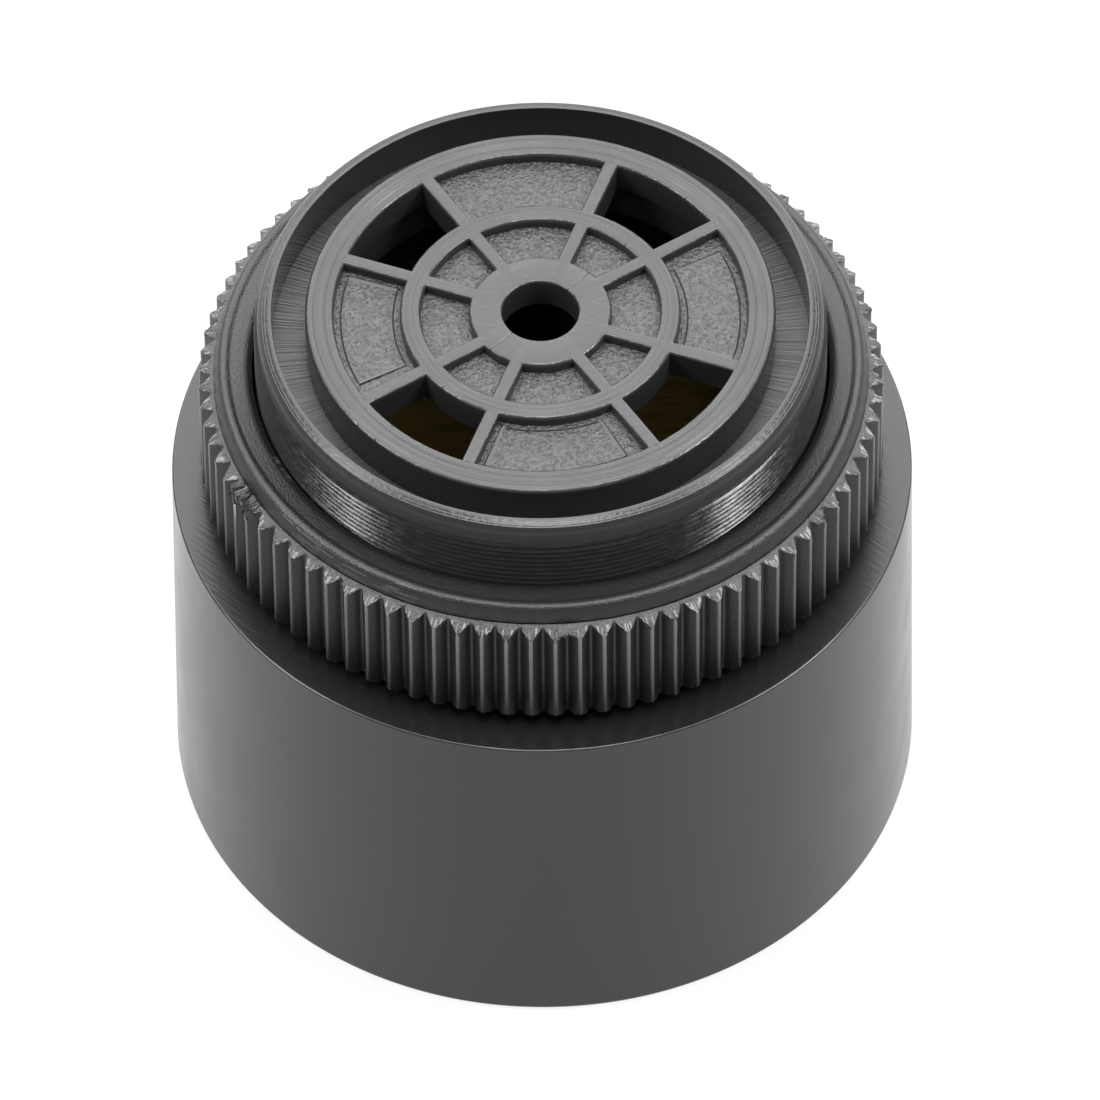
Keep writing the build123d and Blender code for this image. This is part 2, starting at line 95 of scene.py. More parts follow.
groove_level = rim_level - groove_depth
grille_underside = rim_level - grille_plate
wall_underside = groove_level - groove_floor_wall
shoulder_underside = seat_level + seat_height
edge_radius = body_radius - body_draft
edge_rounding = 0.12 * mm
bore_radius = body_radius - body_wall
seat_inner = bore_radius - seat_width
cover_bore = bore_radius + cover_ledge
housing_corners = (
    (body_radius, 0, foot_rounding),
    (edge_radius, shoulder_level, edge_rounding),
    (thread_root, shoulder_level, 0),
    (thread_root, rim_level - rim_drop, lead_in_rounding),
    (rim_outer, rim_level - rim_slope, slope_rounding),
    (rim_flat, rim_level, flat_rounding),
    (groove_outer, rim_level, groove_rounding),
    (groove_outer, groove_level, 0),
    (grille_radius, groove_level, 0),
    (grille_radius, rim_level, grille_rounding),
    (sector_radius, rim_level, 0),
    (ring_outer, rim_level, 0),
    (ring_inner, rim_level, 0),
    (hub_radius, rim_level, 0),
    (sound_hole, rim_level, hole_rounding),
    (sound_hole, grille_underside, 0),
    (ring_outer, grille_underside, 0),
    (sector_radius, grille_underside, 0),
    (core_radius, grille_underside, 0),
    (core_radius, wall_underside, 0),
    (neck_bore, wall_underside, 0),
    (neck_bore, shoulder_underside, 0),
    (seat_inner, shoulder_underside, 0),
    (seat_inner, seat_level, 0),
    (bore_radius, seat_level, 0),
    (bore_radius, cover_front, 0),
    (cover_bore, cover_front, 0),
    (cover_bore, 0, 0),
)

turn_steps = 240
quarter_steps = turn_steps // 4
spoke_marks = (0, 16, 19, 41, 44, quarter_steps)


def revolve_section(bm, corners, steps):
    """Draws a closed section of radius, level and rounding, rounds its corners and turns it about Z."""
    section = [bm.verts.new((radius, 0, level)) for radius, level, _ in corners]
    bm.faces.new(section)
    for vert, (_, _, rounding) in zip(section, corners):
        if rounding:
            bmesh.ops.bevel(
                bm, geom=[vert], offset=rounding, offset_type="OFFSET", segments=4,
                profile=0.5, affect="VERTICES", material=-1,
            )
    bmesh.ops.delete(bm, geom=bm.faces[:], context="FACES_ONLY")
    bmesh.ops.spin(
        bm, geom=bm.verts[:] + bm.edges[:], cent=(0, 0, 0), axis=(0, 0, 1), dvec=(0, 0, 0),
        angle=2 * pi, steps=steps, use_merge=True, use_normal_flip=False, use_duplicate=False,
    )
    bmesh.ops.recalc_face_normals(bm, faces=bm.faces[:])


def angle_of(point):
    """The angle of a point about Z, from 0 to a full turn."""
    return atan2(point.y, point.x) % (2 * pi)


def set_polar(vert, radius, angle):
    """Puts a vertex at a radius and an angle about Z, at its own level."""
    vert.co.x = radius * cos(angle)
    vert.co.y = radius * sin(angle)


def at_level(item, level):
    """Whether every corner of a face or an edge is at a level."""
    return all(abs(vert.co.z - level) < hair for vert in item.verts)


housing_bm = bmesh.new()
revolve_section(housing_bm, housing_corners, turn_steps)

# The turned grille is divided into cells while its steps are still even
pocket_faces = []
open_faces = []
for face in housing_bm.faces:
    middle = face.calc_center_median()
    radius = hypot(middle.x, middle.y)
    part = int(angle_of(middle) / (2 * pi) * turn_steps) % quarter_steps
    on_spoke = spoke_marks[1] <= part < spoke_marks[2] or spoke_marks[3] <= part < spoke_marks[4]
    on_diagonal = spoke_marks[2] <= part < spoke_marks[3]
    in_outer_cells = ring_outer < radius < sector_radius
    in_inner_cells = hub_radius < radius < ring_inner
    on_front = at_level(face, rim_level)
    if on_spoke:
        continue
    if in_outer_cells and on_diagonal and (on_front or at_level(face, grille_underside)):
        open_faces.append(face)
    elif on_front and (in_outer_cells or in_inner_cells):
        pocket_faces.append(face)

# The steps are moved so that each spoke is a straight bar, as wide at the hub as at the outer ring
for vert in housing_bm.verts:
    radius = hypot(vert.co.x, vert.co.y)
    if hub_radius - hair < radius < sector_radius + hair:
        quarter, part = divmod(round(angle_of(vert.co) / (2 * pi) * turn_steps) % turn_steps, quarter_steps)
        half_bar = asin(spoke_width / 2 / radius)
        first, second = pi / 4 - spoke_spread, pi / 4 + spoke_spread
        bar_edges = (0, first - half_bar, first + half_bar, second - half_bar, second + half_bar, pi / 2)
        set_polar(vert, radius, quarter * pi / 2 + np.interp(part, spoke_marks, bar_edges))

# Pockets are sunk, and the four sectors on the diagonals are cut through the plate
sunk = bmesh.ops.extrude_face_region(housing_bm, geom=pocket_faces)["geom"]
pocket_floors = [item for item in sunk if isinstance(item, bmesh.types.BMFace)]
for item in sunk:
    if isinstance(item, bmesh.types.BMVert):
        item.co.z -= pocket_depth
bmesh.ops.delete(housing_bm, geom=pocket_faces + open_faces, context="FACES")
for side_x in (-1, 1):
    for side_y in (-1, 1):
        sector_edges = []
        for edge in housing_bm.edges:
            middle = (edge.verts[0].co + edge.verts[1].co) / 2
            if edge.is_boundary and middle.x * side_x > 0 and middle.y * side_y > 0:
                sector_edges.append(edge)
        bmesh.ops.bridge_loops(housing_bm, edges=sector_edges)
bmesh.ops.recalc_face_normals(housing_bm, faces=housing_bm.faces[:])

# The mould's inserts leave a fine outline on three of the outer pocket floors, a little turned in the pocket
insert_margin = 0.3 * mm
insert_turn_share = 0.16
insert_line = 0.05 * mm
insert_floors = []
for face in pocket_floors:
    middle = face.calc_center_median()
    outer = hypot(middle.x, middle.y) > ring_outer
    if outer and abs(angle_of(middle) - pi / 2) > pi / 4:
        insert_floors.append(face)
bmesh.ops.inset_region(
    housing_bm, faces=insert_floors, thickness=insert_margin, depth=0, use_boundary=True, use_even_offset=True,
)
for vert in {vert for face in insert_floors for vert in face.verts}:
    angle = angle_of(vert.co)
    from_middle = (angle + pi / 4) % (pi / 2) - pi / 4
    if from_middle > 0:
        radius = hypot(vert.co.x, vert.co.y)
        set_polar(vert, radius, angle - from_middle * insert_turn_share)
for depth in (-insert_line, insert_line):
    bmesh.ops.inset_region(
        housing_bm, faces=insert_floors, thickness=insert_line, depth=depth, use_boundary=True,
        use_even_offset=True,
    )

# The front edges of every cell are rounded
cell_edge_angle = radians(60)
cell_edges = []
for edge in housing_bm.edges:
    middle = (edge.verts[0].co + edge.verts[1].co) / 2
    in_cells = hub_radius - hair < hypot(middle.x, middle.y) < sector_radius + hair
    if in_cells and at_level(edge, rim_level) and edge.calc_face_angle(0) > cell_edge_angle:
        cell_edges.append(edge)
bmesh.ops.bevel(
    housing_bm, geom=cell_edges, offset=cell_edge_rounding, offset_type="OFFSET", segments=3, profile=0.5,
    affect="EDGES", material=-1, clamp_overlap=True,
)

# The shoulder's edge has small nicks, so that its bright line is uneven
housing_chance = random.Random(7)
nick_depth = 0.016 * mm
for vert in housing_bm.verts:
    from_edge = hypot(vert.co.x, vert.co.y) - edge_radius
    if abs(from_edge) < edge_rounding and abs(vert.co.z - shoulder_level) < 0.9 * edge_rounding:
        vert.co.z -= housing_chance.uniform(0, nick_depth)

# Faces take their finish from where they are
moulded, eroded, streaked, faced, drawn, rubbed, scuffed, turned, threaded = range(9)
for face in housing_bm.faces:
    middle = face.calc_center_median()
    radius = hypot(middle.x, middle.y)
    on_front = at_level(face, rim_level)
    if hub_radius < radius < sector_radius and at_level(face, rim_level - pocket_depth):
        face.material_index = eroded
    elif at_level(face, groove_level):
        face.material_index = streaked
    elif radius > groove_outer and middle.z > rim_level - rim_drop:
        face.material_index = rubbed
    elif on_front and (radius > sector_radius or ring_inner < radius < ring_outer):
        face.material_index = faced
    elif radius < grille_radius - hair and middle.z > rim_level - 1.2 * cell_edge_rounding:
        face.material_index = drawn
    elif at_level(face, shoulder_level):
        face.material_index = scuffed
    elif abs(radius - thread_root) < hair and middle.z > shoulder_level:
        face.material_index = turned

# A fine right-hand thread winds up the neck, and is turned away at the plain lead-in
thread_pitch = 0.36 * mm
plain_end = 1.25 * mm
thread_top = rim_level - plain_end
thread_base = thread_root - hair
thread_flank = thread_crest - 0.02 * mm
thread_steps = 180
neck_ridge = (
    (thread_base, -0.48 * thread_pitch),
    (thread_flank, -0.11 * thread_pitch),
    (thread_crest, -0.04 * thread_pitch),
    (thread_crest, 0.04 * thread_pitch),
    (thread_flank, 0.11 * thread_pitch),
    (thread_base, 0.48 * thread_pitch),
)


def wind_thread(ridge_section, first_level, turn_count):
    """Winds a ridge, a closed section of radius and rise, into a thread of turns set one on another."""
    turn_bm = bmesh.new()
    ridge = [turn_bm.verts.new((radius, 0, first_level + rise)) for radius, rise in ridge_section]
    ridge_edges = [turn_bm.edges.new(pair) for pair in zip(ridge, ridge[1:] + ridge[:1])]
    bmesh.ops.spin(
        turn_bm, geom=ridge + ridge_edges, cent=(0, 0, 0), axis=(0, 0, 1),
        dvec=(0, 0, thread_pitch / thread_steps), angle=2 * pi, steps=thread_steps,
        use_merge=False, use_normal_flip=False, use_duplicate=False,
    )
    turn_mesh = bpy.data.meshes.new("thread_turn")
    turn_bm.to_mesh(turn_mesh)
    turn_bm.free()
    wound_bm = bmesh.new()
    for _ in range(turn_count):
        wound_bm.from_mesh(turn_mesh)
        turn_mesh.transform(Matrix.Translation((0, 0, thread_pitch)))
    bpy.data.meshes.remove(turn_mesh)
    bmesh.ops.remove_doubles(wound_bm, verts=wound_bm.verts[:], dist=hair / 10)
    bmesh.ops.holes_fill(wound_bm, edges=[edge for edge in wound_bm.edges if edge.is_boundary])
    bmesh.ops.recalc_face_normals(wound_bm, faces=wound_bm.faces[:])
    return wound_bm


def join_thread(bm, wound_bm, finish):
    """Joins a wound thread to the piece that carries it, with a finish of its own."""
    for face in wound_bm.faces:
        face.material_index = finish
    wound_mesh = bpy.data.meshes.new("thread")
    wound_bm.to_mesh(wound_mesh)
    wound_bm.free()
    bm.from_mesh(wound_mesh)
    bpy.data.meshes.remove(wound_mesh)


neck_turns = int((thread_top - shoulder_level) / thread_pitch) + 2
neck_thread_bm = wind_thread(neck_ridge, shoulder_level - thread_pitch, neck_turns)
for vert in neck_thread_bm.verts:
    radius = hypot(vert.co.x, vert.co.y)
    turned_radius = max(thread_base, thread_root + thread_top - vert.co.z)
    set_polar(vert, min(radius, turned_radius), angle_of(vert.co))
join_thread(housing_bm, neck_thread_bm, threaded)


def linear(colour):
    """An sRGB hex colour as the linear colour that a shader takes."""
    channels = [int(colour[place:place + 2], 16) / 255 for place in (1, 3, 5)]
    return [c / 12.92 if c <= 0.04045 else ((c + 0.055) / 1.055) ** 2.4 for c in channels] + [1.0]


def new_material(name, colour, roughness, metallic=0.0, ior=1.5):
    """A material of one colour and gloss, with its shader ready for a pattern."""
    material = bpy.data.materials.new(name)
    material.use_nodes = True
    shader = material.node_tree.nodes["Principled BSDF"]
    shader.inputs["Base Color"].default_value = linear(colour)
    shader.inputs["Roughness"].default_value = roughness
    shader.inputs["Metallic"].default_value = metallic
    shader.inputs["IOR"].default_value = ior
    return material, shader


def add_node(material, kind, inputs, **settings):
    """Adds a node to a material, with its settings and with a value or a link for each named input."""
    node = material.node_tree.nodes.new("ShaderNode" + kind)
    for name, setting in settings.items():
        setattr(node, name, setting)
    for socket, value in inputs.items():
        if isinstance(value, bpy.types.NodeSocket):
            material.node_tree.links.new(value, node.inputs[socket])
        else:
            node.inputs[socket].default_value = value
    return node


# Moulded ABS: a deep black with a satin skin; slow changes in its gloss keep long reflections from looking ideal
abs_colour = "#232324"
abs_ior = 1.47
moulded_abs, shader = new_material("moulded_abs", abs_colour, 0.22, ior=abs_ior)
place = add_node(moulded_abs, "TexCoord", {}).outputs["Object"]
clouds = add_node(moulded_abs, "TexNoise", {"Vector": place, "Scale": 1 / (4 * mm), "Detail": 4.0})
gloss = add_node(
    moulded_abs, "MapRange",
    {"Value": clouds.outputs["Fac"], "From Min": 0.3, "From Max": 0.7, "To Min": 0.19, "To Max": 0.26},
)
moulded_abs.node_tree.links.new(gloss.outputs["Result"], shader.inputs["Roughness"])

# Spark-eroded ABS: the mould's pitted steel leaves a leathery grain of about 0.18 mm, pale on its peaks
eroded_abs, shader = new_material("spark_eroded_abs", abs_colour, 0.4, ior=abs_ior)
place = add_node(eroded_abs, "TexCoord", {}).outputs["Object"]
grain = add_node(eroded_abs, "TexNoise", {"Vector": place, "Scale": 1 / (0.18 * mm), "Detail": 2.0})
tone = add_node(
    eroded_abs, "MapRange",
    {"Value": grain.outputs["Fac"], "From Min": 0.36, "From Max": 0.68, "To Min": 0.008, "To Max": 0.046},
)
relief = add_node(
    eroded_abs, "Bump", {"Height": grain.outputs["Fac"], "Strength": 1.0, "Distance": 0.15 * mm},
)
eroded_abs.node_tree.links.new(tone.outputs["Result"], shader.inputs["Base Color"])
eroded_abs.node_tree.links.new(relief.outputs["Normal"], shader.inputs["Normal"])

# Streaked ABS: the groove's floor shows radial drag marks from the core pin, finer than a degree
streaked_abs, shader = new_material("streaked_abs", "#303031", 0.36, ior=abs_ior)
place = add_node(streaked_abs, "TexCoord", {}).outputs["Object"]
axes = add_node(streaked_abs, "SeparateXYZ", {"Vector": place})
turn = add_node(
    streaked_abs, "Math", {0: axes.outputs["Y"], 1: axes.outputs["X"]}, operation="ARCTAN2",
)
streaks = add_node(
    streaked_abs, "TexNoise", {"W": turn.outputs["Value"], "Scale": 1 / radians(0.8), "Detail": 4.0},
    noise_dimensions="1D",
)
relief = add_node(
    streaked_abs, "Bump", {"Height": streaks.outputs["Fac"], "Strength": 1.0, "Distance": 0.12 * mm},
)
streaked_abs.node_tree.links.new(relief.outputs["Normal"], shader.inputs["Normal"])

# Lathe-faced ABS: concentric tool lines about 0.1 mm apart
faced_abs, shader = new_material("lathe_faced_abs", abs_colour, 0.33, ior=abs_ior)
place = add_node(faced_abs, "TexCoord", {}).outputs["Object"]
flat = add_node(faced_abs, "VectorMath", {0: place, 1: (1, 1, 0)}, operation="MULTIPLY")
reach = add_node(faced_abs, "VectorMath", {0: flat.outputs["Vector"]}, operation="LENGTH")
tool_lines = add_node(
    faced_abs, "TexNoise", {"W": reach.outputs["Value"], "Scale": 1 / (0.12 * mm), "Detail": 2.0},
    noise_dimensions="1D",
)
relief = add_node(
    faced_abs, "Bump", {"Height": tool_lines.outputs["Fac"], "Strength": 1.0, "Distance": 0.06 * mm},
)
smudges = add_node(faced_abs, "TexNoise", {"Vector": place, "Scale": 1 / (2.5 * mm), "Detail": 4.0})
gloss = add_node(
    faced_abs, "MapRange",
    {"Value": smudges.outputs["Fac"], "From Min": 0.35, "From Max": 0.65, "To Min": 0.22, "To Max": 0.42},
)
faced_abs.node_tree.links.new(gloss.outputs["Result"], shader.inputs["Roughness"])
faced_abs.node_tree.links.new(relief.outputs["Normal"], shader.inputs["Normal"])

# Drawn ABS: the hub and the spokes keep a faint mottle from the polished steel, smudges from fingers, and a
# hairline through the hub where the two streams of plastic met
drawn_abs, shader = new_material("drawn_abs", abs_colour, 0.3, ior=abs_ior)
place = add_node(drawn_abs, "TexCoord", {}).outputs["Object"]
mottle = add_node(drawn_abs, "TexNoise", {"Vector": place, "Scale": 1 / (0.45 * mm), "Detail": 5.0})
seam_place = add_node(drawn_abs, "Mapping", {"Vector": place, "Rotation": (0, 0, radians(-39))})
seam_axes = add_node(drawn_abs, "SeparateXYZ", {"Vector": seam_place.outputs["Vector"]})
from_seam = add_node(drawn_abs, "Math", {0: seam_axes.outputs["Y"]}, operation="ABSOLUTE")
hairline = add_node(
    drawn_abs, "MapRange",
    {"Value": from_seam.outputs["Value"], "From Min": 0.0, "From Max": 0.04 * mm, "To Min": 0.0, "To Max": 0.5},
)
height = add_node(drawn_abs, "Math", {0: mottle.outputs["Fac"], 1: hairline.outputs["Result"]}, operation="ADD")
relief = add_node(
    drawn_abs, "Bump", {"Height": height.outputs["Value"], "Strength": 1.0, "Distance": 0.055 * mm},
)
smudges = add_node(drawn_abs, "TexNoise", {"Vector": place, "Scale": 1 / (2.5 * mm), "Detail": 4.0})
gloss = add_node(
    drawn_abs, "MapRange",
    {"Value": smudges.outputs["Fac"], "From Min": 0.35, "From Max": 0.65, "To Min": 0.2, "To Max": 0.38},
)
drawn_abs.node_tree.links.new(gloss.outputs["Result"], shader.inputs["Roughness"])
drawn_abs.node_tree.links.new(relief.outputs["Normal"], shader.inputs["Normal"])

# Rubbed ABS: the rim that other things slide on is worn a little paler, with tool lines about 0.1 mm apart
rubbed_abs, shader = new_material("rubbed_abs", "#1e1e1f", 0.25, ior=abs_ior)
place = add_node(rubbed_abs, "TexCoord", {}).outputs["Object"]
flat = add_node(rubbed_abs, "VectorMath", {0: place, 1: (1, 1, 0)}, operation="MULTIPLY")
reach = add_node(rubbed_abs, "VectorMath", {0: flat.outputs["Vector"]}, operation="LENGTH")
tool_lines = add_node(
    rubbed_abs, "TexNoise", {"W": reach.outputs["Value"], "Scale": 1 / (0.1 * mm), "Detail": 2.0},
    noise_dimensions="1D",
)
nicks = add_node(rubbed_abs, "TexNoise", {"Vector": place, "Scale": 1 / (0.3 * mm), "Detail": 3.0})
height = add_node(rubbed_abs, "Math", {0: tool_lines.outputs["Fac"], 1: nicks.outputs["Fac"]}, operation="ADD")
relief = add_node(
    rubbed_abs, "Bump", {"Height": height.outputs["Value"], "Strength": 1.0, "Distance": 0.025 * mm},
)
rubbed_abs.node_tree.links.new(relief.outputs["Normal"], shader.inputs["Normal"])

# Scuffed ABS: the shoulder carries fine slanting marks from the moulder's cutter
scuffed_abs, shader = new_material("scuffed_abs", "#121213", 0.26, ior=abs_ior)
place = add_node(scuffed_abs, "TexCoord", {}).outputs["Object"]
slant = add_node(
    scuffed_abs, "Mapping",
    {"Vector": place, "Rotation": (0, 0, radians(43)), "Scale": (0.11 * mm, 2.5 * mm, mm)},
    vector_type="TEXTURE",
)
marks = add_node(scuffed_abs, "TexNoise", {"Vector": slant.outputs["Vector"], "Scale": 1.0, "Detail": 2.0})
relief = add_node(
    scuffed_abs, "Bump", {"Height": marks.outputs["Fac"], "Strength": 1.0, "Distance": 0.011 * mm},
)
scuffed_abs.node_tree.links.new(relief.outputs["Normal"], shader.inputs["Normal"])

# Turned ABS: the neck is cut rather than moulded, so it is duller and has upright blotches where the tool
# chattered
turned_ior = 1.4
turned_abs, shader = new_material("turned_abs", "#121213", 0.36, ior=turned_ior)
place = add_node(turned_abs, "TexCoord", {}).outputs["Object"]
upright = add_node(
    turned_abs, "Mapping", {"Vector": place, "Scale": (1 / (0.45 * mm), 1 / (0.45 * mm), 1 / (2 * mm))},
)
flats = add_node(turned_abs, "TexNoise", {"Vector": upright.outputs["Vector"], "Scale": 1.0, "Detail": 3.0})
relief = add_node(
    turned_abs, "Bump", {"Height": flats.outputs["Fac"], "Strength": 1.0, "Distance": 0.035 * mm},
)
turned_abs.node_tree.links.new(relief.outputs["Normal"], shader.inputs["Normal"])


def new_grained(name, colours, gloss, grain, depth, metallic=0.0, ior=1.5):
    """A material whose colour, gloss and relief follow one grain, given by its length along X, Y and Z."""
    material, shader = new_material(name, colours[0], gloss[0], metallic, ior)
    place = add_node(material, "TexCoord", {}).outputs["Object"]
    sized = add_node(material, "Mapping", {"Vector": place, "Scale": [1 / length for length in grain]})
    noise = add_node(material, "TexNoise", {"Vector": sized.outputs["Vector"], "Scale": 1.0, "Detail": 3.0})
    spread = add_node(
        material, "MapRange", {"Value": noise.outputs["Fac"], "From Min": 0.35, "From Max": 0.65},
    ).outputs["Result"]
    # A Mix node's colours are its sockets 6 and 7, and their mixture comes out of its socket 2
    tint = add_node(
        material, "Mix", {0: spread, 6: linear(colours[0]), 7: linear(colours[1])}, data_type="RGBA",
    )
    polish = add_node(material, "MapRange", {"Value": spread, "To Min": gloss[0], "To Max": gloss[1]})
    relief = add_node(material, "Bump", {"Height": noise.outputs["Fac"], "Strength": 1.0, "Distance": depth})
    material.node_tree.links.new(tint.outputs[2], shader.inputs["Base Color"])
    material.node_tree.links.new(polish.outputs["Result"], shader.inputs["Roughness"])
    material.node_tree.links.new(relief.outputs["Normal"], shader.inputs["Normal"])
    return material


# Threaded ABS: the nut has burnished the thread, so each crest catches the light as a sharp but uneven line
threaded_abs = new_grained(
    "threaded_abs", ("#141415", "#1a1a1b"), (0.14, 0.24), (0.6 * mm, 0.6 * mm, 0.3 * mm), 0.01 * mm, ior=abs_ior,
)

sharp_angle = radians(32)


def finish_piece(bm, name, node, body, materials):
    """Makes a mesh into a piece, with shading, materials, the body it rides on and the node it replaces."""
    for face in bm.faces:
        face.smooth = True
    for edge in bm.edges:
        edge.smooth = edge.calc_face_angle(0) < sharp_angle
    mesh = bpy.data.meshes.new(name)
    bm.to_mesh(mesh)
    bm.free()
    for material in materials:
        mesh.materials.append(material)
    piece = bpy.data.objects.new(name, mesh)
    bpy.context.scene.collection.objects.link(piece)
    even_shading = piece.modifiers.new("even_shading", "WEIGHTED_NORMAL")
    even_shading.keep_sharp = True
    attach(piece, body)
    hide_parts(node)


finish_piece(
    housing_bm, "housing_moulding", "housing", "buzzer",
    (moulded_abs, eroded_abs, streaked_abs, faced_abs, drawn_abs, rubbed_abs, scuffed_abs, turned_abs,
     threaded_abs),
)

# Sounder
# A disc of rolled brass with a thinner disc of silvered piezo ceramic bonded to its back, held at its edge
# between the housing's seat and the sleeve.


def dress(names, material):
    """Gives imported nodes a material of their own."""
    for name in names:
        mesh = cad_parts[name].data
        mesh.materials.clear()
        mesh.materials.append(material)


# Shade-darkened brass: rolled sheet, its colour painted a dark brown for the shade it lies in under the grille,
# with fine lines along the roll
# The dark brown colours are painted shade, not the brass's own colour
shade_darkened_brass = new_grained(
    "shade_darkened_brass", ("#463a20", "#584927"), (0.36, 0.46), (3 * mm, 0.1 * mm, mm), 0.003 * mm, metallic=1.0,
)
dress(("piezo_plate",), shade_darkened_brass)

# Silvered ceramic: a screened silver coat, pale and finely pitted
silvered_ceramic = new_grained(
    "silvered_ceramic", ("#bdbcb6", "#d0cfc9"), (0.44, 0.56),
    (0.1 * mm, 0.1 * mm, 0.1 * mm), 0.006 * mm, metallic=0.6,
)
dress(("piezo_ceramic",), silvered_ceramic)

# Sleeve
# A plain moulded ring that keeps the sounder's edge a set distance from the board.

# Sleeve ABS: a dull black with soft clouds of gloss
sleeve_abs = new_grained(
    "sleeve_abs", ("#262627", "#2e2e2f"), (0.4, 0.5), (0.8 * mm, 0.8 * mm, 0.8 * mm), 0.01 * mm, ior=abs_ior,
)
dress(("spacer_sleeve",), sleeve_abs)

# Driver board and its parts
# A brown phenolic board with a step-up coil, a transistor, a capacitor, a diode and two resistors, all
# soldered through it, and three insulated leads up to the sounder.

# Phenolic laminate: brown paper fibres show along the board under a dull resin
phenolic = new_grained(
    "phenolic_laminate", ("#83592e", "#8f6437"), (0.44, 0.56), (2 * mm, 0.25 * mm, 0.1 * mm), 0.004 * mm, ior=1.6,
)
dress(("circuit_board",), phenolic)

# Pressed ferrite: a dark grey powder pressed and fired, sandy to the eye
ferrite = new_grained(
    "pressed_ferrite", ("#323235", "#424246"), (0.55, 0.68), (0.08 * mm, 0.08 * mm, 0.08 * mm), 0.02 * mm, ior=2.2,
)
dress(("coil_core",), ferrite)

# Enamelled copper: turns of fine wire show as level lines about 0.2 mm apart
enamelled_copper = new_grained(
    "enamelled_copper", ("#94501f", "#bd6a35"), (0.24, 0.38), (8 * mm, 8 * mm, 0.2 * mm), 0.05 * mm, metallic=1.0,
)
dress(("coil_winding",), enamelled_copper)

# Tinned copper: bright wire with a slightly cloudy coat of tin
tinned_copper = new_grained(
    "tinned_copper", ("#bcbcba", "#d0d0ce"), (0.22, 0.36),
    (0.3 * mm, 0.3 * mm, 0.6 * mm), 0.004 * mm, metallic=1.0,
)
dress(("coil_pins", "transistor_legs", "capacitor_legs", "diode_leads", "resistor_leads"), tinned_copper)

# Moulded epoxy: matt black with the fine sand of its filler
moulded_epoxy = new_grained(
    "moulded_epoxy", ("#222222", "#2b2b2b"), (0.5, 0.6), (0.07 * mm, 0.07 * mm, 0.07 * mm), 0.01 * mm,
)
dress(("transistor_body", "diode_body"), moulded_epoxy)

# Drawn aluminium: upright lines from the die that drew the can
drawn_aluminium = new_grained(
    "drawn_aluminium", ("#c6c6c8", "#d8d8da"), (0.26, 0.38),
    (0.08 * mm, 0.08 * mm, 4 * mm), 0.004 * mm, metallic=1.0,
)
dress(("capacitor_can",), drawn_aluminium)

# Resistor lacquer: a thick tan dip, a little wavy
resistor_lacquer = new_grained(
    "resistor_lacquer", ("#c5ac83", "#d3bc96"), (0.26, 0.34), (0.5 * mm, 0.5 * mm, 0.5 * mm), 0.005 * mm,
)
dress(("resistor_bodies",), resistor_lacquer)

# Lead PVC: soft coloured insulation, slightly uneven from the extruder
lead_colours = {
    "plate_lead": ("#1b1b1b", "#242424"),
    "ceramic_lead": ("#a81f1a", "#bd2721"),
    "feedback_lead": ("#1f409c", "#284eb4"),
}
for lead_name, colours in lead_colours.items():
    lead_pvc = new_grained(
        lead_name + "_pvc", colours, (0.36, 0.46), (0.3 * mm, 0.3 * mm, 0.9 * mm), 0.008 * mm,
    )
    dress((lead_name,), lead_pvc)

# Back cover and terminals
# A moulded disc that closes the body, with two brass posts, plated washers and slotted screws for the wires.

# Cover ABS: the same black as the housing, with an even spark-eroded grain
cover_abs = new_grained(
    "cover_abs", ("#1f1f20", "#2b2b2c"), (0.38, 0.48), (0.15 * mm, 0.15 * mm, 0.15 * mm), 0.03 * mm, ior=abs_ior,
)
dress(("back_cover",), cover_abs)

# Turned brass: yellow, with level tool lines round the posts
turned_brass = new_grained(
    "turned_brass", ("#bf9851", "#d0aa62"), (0.24, 0.36), (3 * mm, 3 * mm, 0.07 * mm), 0.006 * mm, metallic=1.0,
)
dress(("terminal_posts",), turned_brass)

# Zinc-plated steel: a cool grey with the faint mottle of the bath
zinc_plate = new_grained(
    "zinc_plated_steel", ("#aaa9a3", "#c4c3bd"), (0.24, 0.38),
    (0.4 * mm, 0.4 * mm, 0.4 * mm), 0.004 * mm, metallic=1.0,
)
dress(("terminal_washers", "terminal_screws"), zinc_plate)

# Ring nut
# A separate moulding of the same black ABS that screws down the neck: 88 V teeth for the fingers, and above
# them a plain collar with a rounded bead and a dished, spark-eroded top.
tooth_count = 88
nut_bore = 15.15 * mm
nut_thread_root = 15.29 * mm
collar_radius = 17.2 * mm
knurl_root = 17.35 * mm
knurl_tip = 18.0 * mm
knurl_height = 6.5 * mm
seam_rise = 0.4 * mm
knurl_top = nut_base + knurl_height
seam_level = knurl_top + seam_rise
collar_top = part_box("ring_nut")[1].z
tip_rounding = 0.05 * mm
crest_depth = 0.045 * mm
foot_chamfer = 0.25 * mm
tear_reach = 0.3 * mm
flank_outline = (
    (0.5, knurl_root),
    (0.45, knurl_root + 0.015 * mm),
    (0.4, knurl_root + 0.075 * mm),
    (0.34, knurl_root + 0.2 * mm),
    (0.26, knurl_root + 0.32 * mm),
    (0.18, knurl_root + 0.44 * mm),
    (0.12, knurl_root + 0.53 * mm),
    (0.075, knurl_tip - 0.065 * mm),
    (0.04, knurl_tip - 0.015 * mm),
)
tooth_outline = [(-share, radius) for share, radius in flank_outline]
tooth_outline.append((0, knurl_tip))
tooth_outline += reversed(flank_outline)
seam_depth = 0.045 * mm
bead_width = 0.6 * mm
